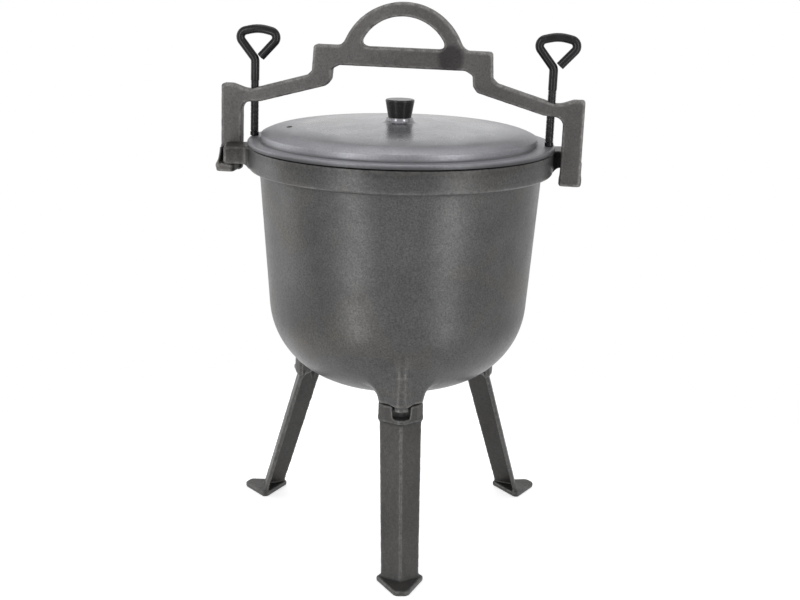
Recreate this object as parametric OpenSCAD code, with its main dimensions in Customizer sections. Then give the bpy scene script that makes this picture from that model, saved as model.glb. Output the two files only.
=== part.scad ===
// Campfire cauldron: a cast iron pot on three push-on legs, its lid held down by a clamp bow.
// Millimetres, Z up. The soles stand on z = 0 and the pot's axis is the Z axis.
// The front leg points along -Y, and the pot's two lugs lie on the X axis.

/* [Pot] */
// Height of the rim's top face above the floor
rim_z = 372; // [360:1:400]
// Outer diameter of the thick collar round the rim
collar_d = 282; // [278:1:290]
// Height of the collar
collar_h = 21; // [16:0.5:26]
// Outer diameter of the wall just under the collar
wall_top_d = 262; // [256:0.2:264]
// Slope of the wall, inwards towards the bottom, in degrees
wall_slope = 4.2; // [2:0.1:6]
// Wall thickness of the casting
wall_t = 5; // [4:0.5:7]
// Radius of the curve from the wall into the bottom
knuckle_r = 79; // [60:1:90]
// Radius of the shallow crown of the bottom
crown_r = 215; // [180:1:260]
// Height of the lowest point of the bottom above the floor
bottom_z = 143; // [136:1:150]

/* [Lugs] */
// How far the two lugs reach out from the axis
lug_reach = 163; // [156:0.5:163]
// Width of a lug round the rim
lug_w = 33.6; // [24:0.2:33.6]
// Height of a lug
lug_h = 16; // [10:0.5:18]

/* [Lid] */
// Outer diameter of the lid
lid_d = 284; // [280:1:290]
// Thickness of the flat flange that the clamp screws press on
flange_t = 5; // [4:0.1:8]
// Diameter of the low dome where it leaves the flange
dome_d = 255; // [246:0.2:258]
// Height of the dome's middle above the rim
dome_h = 22.1; // [18:0.5:26]
// Radius of the dome's shallow crown
dome_crown_r = 1150; // [800:10:2000]
// Radius of the dome's shoulder
dome_shoulder_r = 50; // [40:1:60]
// Slope of the dome where its shoulder ends above the flange, in degrees
dome_edge_slope = 28.5; // [24:0.5:32]
// How far the dome and its knob stand to the left of the lid's middle
dome_aside = 1.8; // [0:0.1:3]
// Thickness of the dome
lid_t = 5; // [4:0.5:6]
// Outer diameter of the lip that keeps the lid in the pot's mouth
lip_d = 249; // [240:0.5:250]
// Depth of the lip below the rim
lip_h = 5; // [3:0.5:9]
// Diameter of the steam hole
steam_hole_d = 5; // [3:0.5:6]
// Distance of the steam hole from the axis
steam_hole_reach = 103.5; // [60:0.5:110]
// Direction of the steam hole, in degrees from +X
steam_hole_turn = 185; // [180:0.1:205]

/* [Knob] */
// Diameter of the knob at its foot
knob_foot_d = 21.4; // [18:0.2:24]
// Diameter of the knob at its top
knob_top_d = 27.5; // [24:0.5:32]
// Height of the knob
knob_h = 16.5; // [14:0.5:24]
// Height of the knob's foot above the rim
knob_foot_up = 27; // [26.5:0.5:32]
// Diameter of the screw that holds the knob
knob_screw_d = 6; // [5:1:6]

/* [Bow] */
// How far the locked bow stands turned from the line through the lugs, in degrees
bow_turn = 9.3; // [9.3:0.1:11]
// How far the clamped bow leans over towards its right end, in degrees
bow_lean = 0.9; // [0:0.1:1.2]
// Thickness of the bow casting
bow_t = 14; // [12:0.5:14]
// Distance from the axis to the outer face of each end leg
bow_reach = 168; // [166:0.5:172]
// Distance from the axis to the inner face of each end leg
bow_inner = 149; // [148:0.5:151]
// Height of the end legs' tops above the rim
bow_end_up = 50.5; // [48:0.5:54]
// Depth of the end legs' bottoms below the rim
bow_end_down = 28.5; // [27:0.5:32]
// Height of the shoulders' tops above the rim
shoulder_up = 90; // [86:0.5:94]
// Distance from the axis to the outer side of a shoulder
shoulder_reach = 82; // [78:0.5:86]
// Height of the grip's underside above the rim
grip_under_up = 73.2; // [70:0.2:78]
// Radius of the carrying handle's outer arch
arch_r = 57.5; // [54:0.5:60]
// Radius of the hand hole's arch
hand_hole_r = 43; // [38:0.5:44]
// Thickness of each hook foot
hook_t = 7.5; // [6:0.5:9]
// How far each hook foot reaches out from the bow's face
hook_len = 21; // [16:0.5:22]

/* [Clamp screws] */
// Distance from the axis to each clamp screw
screw_reach = 137.5; // [135:0.5:138]
// Diameter of the screws
screw_d = 8; // [6:1:8]
// Height above the rim where the rod leaves the straight shaft
loop_foot_up = 75; // [72:0.5:84]
// Length of the plain swivelling tip
tip_h = 3.6; // [3:0.2:5]

/* [Legs] */
// Height of the leg sockets' top faces above the floor
socket_top_z = 154; // [150:0.5:156]
// Height of a leg socket
socket_h = 16; // [14:0.5:18]
// Distance from the axis to the nose of a leg socket
socket_nose = 114; // [112:0.5:115]
// Half the width of a leg socket
socket_half_w = 20.2; // [19.5:0.1:21]
// Distance from the axis to the outer ridge of a leg, at the floor
leg_ridge_reach = 153.8; // [150:0.2:156]
// Half the width of a leg at its top
leg_top_half_w = 18.9; // [17:0.1:19]
// Half the width of a leg at the foot plate
leg_foot_half_w = 16.7; // [14:0.1:18]
// How far a socket's nose stands out over the leg's ridge
leg_lip = 4; // [3:0.1:7]
// Thickness of a leg's two flanges
leg_t = 4; // [3:0.5:5]
// How far the ridge stands out from the flanges' free edges, as a share of the half width
leg_ridge_share = 0.68; // [0.55:0.01:0.8]
// Thickness of the foot plates
sole_t = 4.8; // [4:0.2:7]
// Distance from the axis to the tip of a foot plate
sole_tip_reach = 172; // [168:0.5:176]
// Half the width of a foot plate
sole_half_w = 21.4; // [20:0.1:24]

/* [Fits] */
// Radial clearance of the screws in the bow and of the swivel pins
screw_gap = 0.05; // [0.02:0.01:0.1]
// Space between the swivelling tips and the lid's flange
tip_gap = 0.1; // [0.1:0.01:0.3]
// Clearance all round each leg peg in its socket
peg_gap = 0.15; // [0.1:0.05:0.3]

/* [Hidden] */
$fn = 96;

iron = [0.3, 0.3, 0.3];
lid_iron = [0.42, 0.42, 0.44];
leg_iron = [0.27, 0.26, 0.26];
black = [0.06, 0.06, 0.06];

front_turn = -90;
left_turn = 150;
right_turn = 30;

// Margin by which a cutting body passes the face it cuts, and a joined body sinks into its neighbour
over = 1;

collar_r = collar_d / 2;
collar_bottom_z = rim_z - collar_h;
collar_top_round = 1.2;
collar_low_round = 2.5;
collar_fillet = 3;
collar_sink = 20;

// The wall is tangent to the knuckle's circle, and that circle to the crown's circle from inside
wall_top = [wall_top_d / 2, collar_bottom_z];
wall_dir = [-sin(wall_slope), -cos(wall_slope)];
wall_out = [cos(wall_slope), -sin(wall_slope)];
crown_c = [0, bottom_z + crown_r];
knuckle_from = wall_top - knuckle_r * wall_out - crown_c;
knuckle_along = knuckle_from * wall_dir;
knuckle_run = -knuckle_along
    + sqrt(knuckle_along * knuckle_along - knuckle_from * knuckle_from + pow(crown_r - knuckle_r, 2));
knuckle_c = wall_top - knuckle_r * wall_out + knuckle_run * wall_dir;
crown_dir = (knuckle_c - crown_c) / norm(knuckle_c - crown_c);

lug_round = 2;
lug_root = 134;
lug_neck_drop = 1.2;
lug_neck_reach = 146;
lug_neck_round = 4;

lid_r = lid_d / 2;
dome_r = dome_d / 2;
lip_r = lip_d / 2;
lip_w = 5.5;
lid_edge_round = 1.4;
lid_edge_low_round = 0.5;
lid_edge_lift = 0.8;
lid_edge_lift_reach = 136;
boss_skirt_r = 17.5;
boss_skirt_drop = 0.1;
boss_foot_r = 13.2;
boss_foot_up = 1;
boss_top_r = 12.2;
boss_fillet = 4;
boss_top_round = 0.8;
boss_pad_r = 12;
boss_pad_drop = 1.5;
knob_screw_gap = 0.3;

knob_edge_round = 1.2;
knob_foot_round = 0.5;
knob_bore_gap = 0.05;
knob_bore_h = 12;
knob_screw_up = 10.5;
washer_r = 8.5;
washer_t = 1.2;
knob_screw_head_r = 5.6;
knob_screw_head_h = 3.6;
knob_screw_socket_d = 3.4;
knob_screw_socket_h = 2;
boss_pad_up = dome_h - lid_t - boss_pad_drop;

end_round = 2.2;
end_top_in = 10;
end_dip_reach = 143.5;
end_dip_up = 45.6;
end_dip_round = 18;
end_shoulder_round = 9;
arm_start_reach = 88;
arm_start_up = 61.7;
arm_round = 5;
arm_thick = 13.9;
arm_slope = 0.285;
armpit_round = 8;
armpit_reach = 131;
grip_reach = 58;
grip_corner = [64.6, grip_under_up - 5];
grip_step = [65.4, grip_under_up - 14.5];
grip_elbow = [69.5, grip_under_up - 20.2];
grip_round = 3;
grip_corner_round = 2;
grip_elbow_round = 6;
arch_c = [0, rim_z + grip_under_up + 0.4];
hand_hole_c = [0, rim_z + 75.4];
hand_hole_bottom_up = 90;
hand_hole_round = 5;
shoulder_root = 47;
shoulder_foot_out = 1.4;
shoulder_foot_up = 4.5;
bar_sink = 3;
armpit_drop = 1.5;
shoulder_round = 3;
arch_root_round = 5;
// Rounding arcs cross their neighbours by a hair, and so meet them at a clear angle
arc_overlap = 0.06;
hook_round = 4;
gusset_t = 2;
gusset_up = 13;
gusset_end_in = 1;
gusset_hollow_out = 5;
gusset_hollow_up = 6;
gusset_hollow_r = 20;
hook_nose_in = 2;
hook_z = rim_z - bow_end_down;
// The level of the bow that stays in place as the bow leans
lean_z = rim_z + 75;
hook_top_z = hook_z + hook_t;

screw_r = screw_d / 2;
tip_z = rim_z + flange_t + tip_gap;
tip_seam = 0.3;
tip_pin_r = 2;
tip_pin_h = 5;
tip_pin_end_gap = 0.5;
tip_round = 0.6;
screw_foot_z = tip_z + tip_h + tip_seam;
loop_foot_z = rim_z + loop_foot_up;
// The bent rod's corners, across and up from the point where it leaves the shaft, and their bend radii
loop_path = [[0, screw_foot_z - loop_foot_z], [0, 1], [-18.4, 24.2], [3, 29.6], [24.8, 24.6], [5.3, 3.2]];
loop_bends = [0, 7, 6, 34, 6, 0];
// The bends are a hair thicker than the straight lengths, which reach a little way into them
bend_swell = 0.03;
bend_sink = 0.4;

peg_back = 96.3;
peg_front = 101.6;
peg_back_half_w = 15;
peg_front_half_w = 12.5;
peg_h = 15.5;
tongue_half_w = 7;
tongue_foot_half_w = 6.3;
tongue_h = 5;
window_half_w = 8.8;
window_foot_half_w = 7.6;
window_h = 11.5;
window_round = 2;
socket_back = 92.6;
socket_floor_t = socket_h - window_h;
socket_z = socket_top_z - socket_h;
leg_top_ridge_reach = socket_nose - leg_lip;
leg_splay = atan((leg_ridge_reach - leg_top_ridge_reach) / socket_z);
socket_wall_t = 4.6;
socket_side_reach = 97;
socket_cheek_reach = 104.5;
socket_cheek_half_w = 14.5;
socket_nose_half_w = 2.5;
socket_back_round = 1.5;
socket_cheek_round = 3;
socket_nose_round = 2;
hollow_cheek_reach = 102.5;
hollow_cheek_half_w = 12;
hollow_nose_half_w = 1.5;
leg_root_sink = 2;
boss_half_w = 20;
boss_flare_half_w = 22.5;
boss_root_half_w = 27;
boss_neck_up = 12;
boss_root_up = 20;
boss_back = 86;
boss_top_up = 34;
boss_side_reach = 94;
boss_cheek_reach = 104;
boss_cheek_half_w = 14;
boss_nose = 111.4;
boss_nose_half_w = 3;
boss_flare_round = 9;
rib_foot_r = 7.6;
rib_top_r = 5;
rib_c = 104.6;
rib_top_c = 113.5;
rib_h = 50;
leg_root_z = socket_z + leg_root_sink;
sole_back_reach = 136;
sole_back_half_w = 18;
sole_corner_reach = 139.6;
sole_tip_half_w = 6;
sole_tip_round = 6;
sole_corner_round = 2.5;
sole_back_round = 1.5;
ridge_drop = leg_ridge_share;
flange_back = leg_t * sqrt(1 + ridge_drop * ridge_drop);
leg_blank_half_w = 21;

function unit(v) = v / norm(v);
function before(pts, i) = pts[(i + len(pts) - 1) % len(pts)];
function after(pts, i) = pts[(i + 1) % len(pts)];
function corner_angle(pts, i) = acos(unit(before(pts, i) - pts[i]) * unit(after(pts, i) - pts[i]));
function corner_run(pts, radii, i) = radii[i] / tan(corner_angle(pts, i) / 2);
function corner_in(pts, radii, i) = pts[i] + corner_run(pts, radii, i) * unit(before(pts, i) - pts[i]);
function corner_out(pts, radii, i) = pts[i] + corner_run(pts, radii, i) * unit(after(pts, i) - pts[i]);
function corner_c(pts, radii, i) =
    pts[i] + radii[i] / sin(corner_angle(pts, i) / 2)
    * unit(unit(before(pts, i) - pts[i]) + unit(after(pts, i) - pts[i]));
function turn_sign(pts, i) = sign(cross(pts[i] - before(pts, i), after(pts, i) - pts[i]));

// The sector of a corner's circle between its two tangent points
module corner_sector(pts, radii, i) {
    centre = corner_c(pts, radii, i);
    intersection() {
        translate(centre) circle(r = radii[i]);
        polygon([centre, centre + 2 * (corner_in(pts, radii, i) - centre),
            centre + 2 * (corner_out(pts, radii, i) - centre)]);
    }
}

// A polygon, listed counterclockwise, whose corners are true arcs of the given radii
module rounded_polygon(pts, radii) {
    difference() {
        union() {
            polygon([for (i = [0:len(pts) - 1]) each
                radii[i] == 0 ? [pts[i]] : [corner_in(pts, radii, i), corner_out(pts, radii, i)]]);
            for (i = [0:len(pts) - 1])
                if (radii[i] > 0 && turn_sign(pts, i) > 0)
                    translate(corner_c(pts, radii, i)) circle(r = radii[i]);
        }
        for (i = [0:len(pts) - 1])
            if (radii[i] > 0 && turn_sign(pts, i) < 0) corner_sector(pts, radii, i);
    }
}

// The bowl's section, inset from the outside by the given distance, up to the given height
module bowl_section(inset, top_z) {
    wall_start = wall_top - inset * wall_out;
    wall_end = knuckle_c + (knuckle_r - inset) * wall_out;
    top_run = (top_z - wall_start[1]) / wall_dir[1];
    polygon([[0, knuckle_c[1]], knuckle_c, wall_end, wall_start + top_run * wall_dir, [0, top_z]]);
    intersection() {
        translate(knuckle_c) circle(r = knuckle_r - inset);
        translate([0, bottom_z - over]) square([collar_r, rim_z]);
    }
    intersection() {
        translate(crown_c) circle(r = crown_r - inset);
        polygon([[0, crown_c[1]], [0, crown_c[1] - crown_r * 1.3], crown_c + crown_r * 1.3 * crown_dir]);
    }
}

module collar_section() {
    low_z = collar_bottom_z - collar_sink;
    rounded_polygon(
        [[0, low_z], [wall_top[0] - collar_sink * tan(wall_slope), low_z], wall_top,
            [collar_r, collar_bottom_z], [collar_r, rim_z], [0, rim_z]],
        [0, 0, collar_fillet, collar_low_round, collar_top_round, 0]);
}

module lug_section() {
    rounded_polygon(
        [[lug_root, rim_z - lug_h - lug_neck_drop], [collar_r, rim_z - lug_h - lug_neck_drop],
            [lug_neck_reach, rim_z - lug_h], [lug_reach, rim_z - lug_h], [lug_reach, rim_z],
            [lug_root, rim_z]],
        [0, 0, lug_neck_round, lug_round, lug_round, 0]);
}

module lug() {
    rotate([90, 0, 0]) linear_extrude(lug_w, center = true) lug_section();
}

// Plan of a leg boss, radial along +X
module boss_plan() {
    polygon([[boss_back, -boss_root_half_w], [boss_side_reach, -boss_root_half_w],
        [boss_cheek_reach, -boss_cheek_half_w], [boss_nose, -boss_nose_half_w],
        [boss_nose, boss_nose_half_w], [boss_cheek_reach, boss_cheek_half_w],
        [boss_side_reach, boss_root_half_w], [boss_back, boss_root_half_w]]);
}

// Front view of a leg boss, across along X and up along Y from the socket's top face
module boss_front() {
    rounded_polygon(
        [[-boss_half_w, 0], [boss_half_w, 0], [boss_flare_half_w, boss_neck_up],
            [boss_root_half_w, boss_root_up], [boss_root_half_w, boss_top_up],
            [-boss_root_half_w, boss_top_up], [-boss_root_half_w, boss_root_up],
            [-boss_flare_half_w, boss_neck_up]],
        [0, 0, boss_flare_round, 0, 0, 0, 0, boss_flare_round]);
}

module peg_plan(gap) {
    polygon([[peg_back - gap, -peg_back_half_w - gap], [peg_front + gap, -peg_front_half_w - gap],
        [peg_front + gap, peg_front_half_w + gap], [peg_back - gap, peg_back_half_w + gap]]);
}

// A boss with its rib, its tongue and the peg that the leg is pushed onto, radial along +X
module leg_boss() {
    translate([0, 0, socket_top_z]) {
        intersection() {
            linear_extrude(boss_top_up) boss_plan();
            translate([boss_back, 0, 0]) rotate([90, 0, 90]) linear_extrude(socket_nose) boss_front();
        }
        multmatrix([[1, 0, (rib_top_c - rib_c) / rib_h, rib_c], [0, 1, 0, 0], [0, 0, 1, 0], [0, 0, 0, 1]])
            cylinder(h = rib_h, r1 = rib_foot_r, r2 = rib_top_r);
        translate([0, 0, -tongue_h]) tongue();
        translate([0, 0, -peg_h]) linear_extrude(peg_h + over) peg_plan(0);
    }
}

// The tongue that shows in the socket's window
module tongue() {
    intersection() {
        translate([rib_c, 0, 0]) cylinder(h = tongue_h + over, r = rib_foot_r);
        translate([peg_front - over, 0, 0]) rotate([90, 0, 90]) linear_extrude(socket_nose - peg_front)
            polygon([[-tongue_foot_half_w, 0], [tongue_foot_half_w, 0], [tongue_half_w, tongue_h + over],
                [-tongue_half_w, tongue_h + over]]);
    }
}

module pot() {
    color(iron) difference() {
        union() {
            rotate_extrude() {
                bowl_section(0, collar_bottom_z);
                collar_section();
            }
            for (turn = [0, 180]) rotate(turn) lug();
            for (turn = [front_turn, left_turn, right_turn]) rotate(turn) leg_boss();
        }
        rotate_extrude() bowl_section(wall_t, rim_z + over);
    }
}

// The dome's section, inset from the outside, from within the flange up
module dome_section(inset) {
    crown_up = dome_h - dome_crown_r;
    shoulder_reach = dome_r - dome_shoulder_r * sin(dome_edge_slope);
    shoulder_c = [shoulder_reach,
        crown_up + sqrt(pow(dome_crown_r - dome_shoulder_r, 2) - pow(shoulder_reach, 2))];
    shoulder_dir = unit(shoulder_c - [0, crown_up]);
    foot = flange_t / 2;
    seam_foot = [shoulder_c[0] + shoulder_dir[0] * (foot - shoulder_c[1]) / shoulder_dir[1], foot];
    seam_top = shoulder_c + 2 * dome_shoulder_r * shoulder_dir;
    intersection() {
        translate([0, crown_up]) circle(r = dome_crown_r - inset, $fn = 720);
        polygon([[0, foot], seam_foot, seam_top, [0, seam_top[1]]]);
    }
    intersection() {
        translate(shoulder_c) circle(r = dome_shoulder_r - inset);
        polygon([seam_foot, [dome_r - inset, foot], [dome_r - inset, dome_h], seam_top]);
    }
}

module flange_section() {
    rounded_polygon(
        [[lip_r - lip_w, 0], [lid_edge_lift_reach, 0], [lid_edge_lift_reach, lid_edge_lift],
            [lid_r, lid_edge_lift], [lid_r, flange_t], [lip_r - lip_w, flange_t]],
        [0, 0, 0, lid_edge_low_round, lid_edge_round, 0]);
}

// Places the dome, the knob and its screw, which stand a little beside the lid's middle
module at_dome() {
    translate([-dome_aside, 0, 0]) children();
}

module lid() {
    color(lid_iron) translate([0, 0, rim_z]) difference() {
        union() {
            at_dome() rotate_extrude() {
                difference() {
                    dome_section(0);
                    dome_section(lid_t);
                }
                rounded_polygon(
                    [[0, boss_pad_up], [boss_pad_r, boss_pad_up], [boss_pad_r, dome_h - lid_t / 2],
                        [boss_skirt_r, dome_h - lid_t / 2], [boss_skirt_r, dome_h - boss_skirt_drop],
                        [boss_foot_r, dome_h + boss_foot_up], [boss_top_r, knob_foot_up], [0, knob_foot_up]],
                    [0, 0, 0, 0, 0, boss_fillet, boss_top_round, 0]);
            }
            rotate_extrude() {
                flange_section();
                translate([lip_r - lip_w, -lip_h]) square([lip_w, lip_h + over]);
            }
        }
        at_dome() translate([0, 0, -over])
            cylinder(h = knob_foot_up + 2 * over, r = knob_screw_d / 2 + knob_screw_gap);
        rotate(steam_hole_turn) translate([steam_hole_reach, 0, 0]) cylinder(h = dome_h, d = steam_hole_d);
    }
}

module knob() {
    color(black) at_dome() translate([0, 0, rim_z + knob_foot_up]) difference() {
        rotate_extrude() rounded_polygon(
            [[0, 0], [knob_foot_d / 2, 0], [knob_top_d / 2, knob_h], [0, knob_h]],
            [0, knob_foot_round, knob_edge_round, 0]);
        translate([0, 0, -over]) cylinder(h = knob_bore_h + over, r = knob_screw_d / 2 + knob_bore_gap);
    }
}

module knob_screw() {
    head_z = rim_z + boss_pad_up - washer_t;
    color(black) at_dome() difference() {
        union() {
            translate([0, 0, head_z - knob_screw_head_h])
                cylinder(h = knob_screw_head_h, r = knob_screw_head_r);
            translate([0, 0, head_z - over])
                cylinder(h = over + rim_z + knob_foot_up + knob_screw_up - head_z, d = knob_screw_d);
        }
        translate([0, 0, head_z - knob_screw_head_h - over])
            cylinder(h = knob_screw_socket_h + over, r = knob_screw_socket_d, $fn = 6);
    }
}

module knob_screw_washer() {
    color(black) at_dome() translate([0, 0, rim_z + boss_pad_up - washer_t]) difference() {
        cylinder(h = washer_t, r = washer_r);
        translate([0, 0, -over]) cylinder(h = washer_t + 2 * over, r = knob_screw_d / 2 + knob_screw_gap);
    }
}

// Right half of the bow's outline below the carrying handle, across and up from the rim
module bow_half_outline() {
    arm_low = arm_start_up - arm_thick - (armpit_reach - arm_start_reach) * arm_slope;
    bar_top = hand_hole_bottom_up - bar_sink;
    rounded_polygon(
        [[-over, grip_under_up], [grip_reach, grip_under_up], grip_corner, grip_step, grip_elbow,
            [armpit_reach, arm_low], [bow_inner, arm_low - armpit_drop], [bow_inner, -bow_end_down],
            [bow_reach, -bow_end_down], [bow_reach, bow_end_up], [bow_reach - end_top_in, bow_end_up],
            [end_dip_reach, end_dip_up], [arm_start_reach, arm_start_up],
            [shoulder_reach + shoulder_foot_out, arm_start_up + shoulder_foot_up],
            [shoulder_reach, shoulder_up], [shoulder_root, shoulder_up], [shoulder_root, bar_top],
            [-over, bar_top]],
        [0, grip_round, grip_corner_round, grip_round, grip_elbow_round, 0, armpit_round, end_round,
            end_round, end_round, end_shoulder_round, end_dip_round, arm_round, 0, shoulder_round, 0, 0, 0]);
}

// The wedge between the right-hand lower corner of the hand hole and its rounding's centre
module hand_hole_wedge(corner) {
    polygon([corner, [corner[0], rim_z], [2 * hand_hole_r, rim_z],
        hand_hole_c + 2 * (corner - hand_hole_c)]);
}

// The D-shaped hand hole, its two lower corners rounded
module hand_hole_outline() {
    corner_z = rim_z + hand_hole_bottom_up + hand_hole_round;
    corner_x = sqrt(pow(hand_hole_r - hand_hole_round, 2) - pow(corner_z - hand_hole_c[1], 2));
    corner = [corner_x, corner_z];
    difference() {
        translate(hand_hole_c) circle(r = hand_hole_r);
        translate([-hand_hole_r - over, rim_z]) square([2 * hand_hole_r + 2 * over, hand_hole_bottom_up]);
        for (side = [0, 1]) mirror([side, 0, 0]) hand_hole_wedge(corner);
    }
    for (side = [-1, 1]) translate([side * corner_x, corner_z]) circle(r = hand_hole_round + arc_overlap);
}

// The hollow corner where the arch leaves the right shoulder's top
module arch_root_outline() {
    top_z = rim_z + shoulder_up;
    reach = arch_root_round - arc_overlap;
    centre = [sqrt(pow(arch_r + reach, 2) - pow(top_z + reach - arch_c[1], 2)), top_z + reach];
    touch = arch_c + arch_r * unit(centre - arch_c);
    difference() {
        polygon([[centre[0], top_z - over], centre, touch, [touch[0] - arch_root_round, top_z - over]]);
        translate(centre) circle(r = arch_root_round);
    }
}

// The carrying handle: an arch with a hand hole
module handle_outline() {
    difference() {
        intersection() {
            translate(arch_c) circle(r = arch_r);
            translate([-arch_r - over, rim_z + grip_under_up]) square([2 * arch_r + 2 * over, 2 * arch_r]);
        }
        hand_hole_outline();
    }
    for (side = [0, 1]) mirror([side, 0, 0]) arch_root_outline();
}

module bow_outline() {
    for (side = [0, 1]) mirror([side, 0, 0]) translate([0, rim_z]) bow_half_outline();
    handle_outline();
}

// The hooked foot on the bow's right end, which turns in under the pot's lug
module hook() {
    gusset_end = bow_t / 2 + hook_len - gusset_end_in;
    translate([0, 0, hook_z]) linear_extrude(hook_t) rounded_polygon(
        [[bow_inner, 0], [bow_reach, 0], [bow_reach, bow_t / 2 + hook_len],
            [bow_inner + hook_nose_in, bow_t / 2 + hook_len]],
        [0, 0, hook_round, hook_round]);
    translate([bow_reach - gusset_t, 0, 0]) rotate([90, 0, 90]) linear_extrude(gusset_t) difference() {
        polygon([[0, hook_top_z - over], [gusset_end, hook_top_z - over], [gusset_end, hook_top_z],
            [bow_t / 2, hook_top_z + gusset_up], [0, hook_top_z + gusset_up]]);
        translate([gusset_end + gusset_hollow_out, hook_top_z + gusset_up + gusset_hollow_up])
            circle(r = gusset_hollow_r);
    }
}

// Places what belongs to the bow as it stands: turned about the pot's axis, and leaning
module on_bow() {
    rotate(-bow_turn) translate([0, 0, lean_z]) rotate([0, bow_lean, 0]) translate([0, 0, -lean_z]) children();
}

module bow() {
    color(iron) on_bow() difference() {
        union() {
            rotate([90, 0, 0]) linear_extrude(bow_t, center = true) bow_outline();
            for (turn = [0, 180]) rotate(turn) hook();
        }
        for (side = [-1, 1]) translate([side * screw_reach, 0, rim_z])
            cylinder(h = rim_z, r = screw_r + screw_gap);
    }
}

// A straight length of rod between two points of the XZ plane, sunk into the bends at its ends
module rod_run(a, b, sink_a, sink_b) {
    translate([a[0], 0, a[1]]) rotate([0, atan2(b[0] - a[0], b[1] - a[1]), 0])
        translate([0, 0, -sink_a]) cylinder(h = norm(b - a) + sink_a + sink_b, r = screw_r);
}

// The bend at one corner of a path in the XZ plane
module rod_bend(pts, radii, i) {
    centre = corner_c(pts, radii, i);
    start = corner_in(pts, radii, i) - centre;
    end = corner_out(pts, radii, i) - centre;
    from = turn_sign(pts, i) > 0 ? start : end;
    translate([centre[0], 0, centre[1]]) rotate([90, 0, 0]) rotate(atan2(from[1], from[0]))
        rotate_extrude(angle = 180 - corner_angle(pts, i)) translate([radii[i], 0])
            circle(r = screw_r + bend_swell);
}

// A rod bent along a path in the XZ plane
module bent_rod(pts, radii) {
    last = len(pts) - 1;
    for (i = [0:last - 1]) rod_run(
        i == 0 ? pts[0] : corner_out(pts, radii, i),
        i + 1 == last ? pts[last] : corner_in(pts, radii, i + 1),
        i == 0 ? 0 : bend_sink,
        i + 1 == last ? 0 : bend_sink);
    for (i = [1:last - 1]) rod_bend(pts, radii, i);
}

module clamp_screw() {
    color(black) translate([0, 0, loop_foot_z]) difference() {
        bent_rod(loop_path, loop_bends);
        translate([0, 0, screw_foot_z - loop_foot_z - over])
            cylinder(h = tip_pin_h + tip_pin_end_gap + over, r = tip_pin_r + screw_gap);
    }
}

module screw_tip() {
    color(black) translate([0, 0, tip_z]) {
        rotate_extrude() rounded_polygon(
            [[0, 0], [screw_r, 0], [screw_r, tip_h], [0, tip_h]], [0, tip_round, 0, 0]);
        translate([0, 0, tip_h - over]) cylinder(h = tip_seam + tip_pin_h + over, r = tip_pin_r);
    }
}

// The screws are turned to different depths in the leaning bow, so that both tips meet the lid
function screw_shift(side) =
    side * screw_reach * tan(bow_lean) - (lean_z - tip_z) * (1 / cos(bow_lean) - 1);

module at_screw(side) {
    on_bow() translate([side * screw_reach, 0, screw_shift(side)]) children();
}

module left_clamp_screw() {
    at_screw(-1) clamp_screw();
}

module right_clamp_screw() {
    at_screw(1) clamp_screw();
}

module left_screw_tip() {
    at_screw(-1) screw_tip();
}

module right_screw_tip() {
    at_screw(1) screw_tip();
}

// Plan of a leg socket, radial along +X
module socket_plan() {
    rounded_polygon(
        [[socket_back, -socket_half_w], [socket_side_reach, -socket_half_w],
            [socket_cheek_reach, -socket_cheek_half_w], [socket_nose, -socket_nose_half_w],
            [socket_nose, socket_nose_half_w], [socket_cheek_reach, socket_cheek_half_w],
            [socket_side_reach, socket_half_w], [socket_back, socket_half_w]],
        [socket_back_round, socket_back_round, socket_cheek_round, socket_nose_round,
            socket_nose_round, socket_cheek_round, socket_back_round, socket_back_round]);
}

// The hollow behind the window, above the socket's floor
module socket_hollow_plan() {
    hollow_nose = socket_nose - socket_wall_t;
    polygon([[peg_front - over, -peg_front_half_w], [hollow_cheek_reach, -hollow_cheek_half_w],
        [hollow_nose, -hollow_nose_half_w], [hollow_nose, hollow_nose_half_w],
        [hollow_cheek_reach, hollow_cheek_half_w], [peg_front - over, peg_front_half_w]]);
}

module window_front() {
    rounded_polygon(
        [[-window_foot_half_w, 0], [window_foot_half_w, 0], [window_half_w, window_h + over],
            [-window_half_w, window_h + over]],
        [window_round, window_round, 0, 0]);
}

// The leg's angle section, leaning out along +X, between the foot plate and the socket
module leg_flanges() {
    blank_back = -ridge_drop * leg_blank_half_w;
    intersection() {
        translate([leg_ridge_reach, 0, 0]) rotate([0, -leg_splay, 0]) translate([0, 0, -sole_back_reach / 2])
            linear_extrude(2 * socket_z) polygon([[0, 0], [blank_back, leg_blank_half_w],
                [blank_back - flange_back, leg_blank_half_w], [-flange_back, 0],
                [blank_back - flange_back, -leg_blank_half_w], [blank_back, -leg_blank_half_w]]);
        rotate([90, 0, 90]) linear_extrude(sole_tip_reach) polygon([[-leg_foot_half_w, sole_t - over],
            [leg_foot_half_w, sole_t - over], [leg_top_half_w, leg_root_z], [-leg_top_half_w, leg_root_z]]);
    }
}

module sole_plan() {
    rounded_polygon(
        [[sole_back_reach, -sole_back_half_w], [sole_corner_reach, -sole_half_w],
            [sole_tip_reach, -sole_tip_half_w], [sole_tip_reach, sole_tip_half_w],
            [sole_corner_reach, sole_half_w], [sole_back_reach, sole_back_half_w]],
        [sole_back_round, sole_corner_round, sole_tip_round, sole_tip_round, sole_corner_round,
            sole_back_round]);
}

// An angle-section leg with its socket and foot plate, radial along +X
module leg() {
    linear_extrude(sole_t) sole_plan();
    difference() {
        union() {
            leg_flanges();
            translate([0, 0, socket_z]) linear_extrude(socket_h) socket_plan();
        }
        translate([0, 0, socket_z - over]) linear_extrude(socket_h + 2 * over) peg_plan(peg_gap);
        translate([0, 0, socket_z + socket_floor_t]) linear_extrude(window_h + over) socket_hollow_plan();
        translate([peg_front, 0, socket_top_z - window_h]) rotate([90, 0, 90])
            linear_extrude(socket_nose) window_front();
    }
}

module front_leg() {
    color(leg_iron) rotate(front_turn) leg();
}

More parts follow.
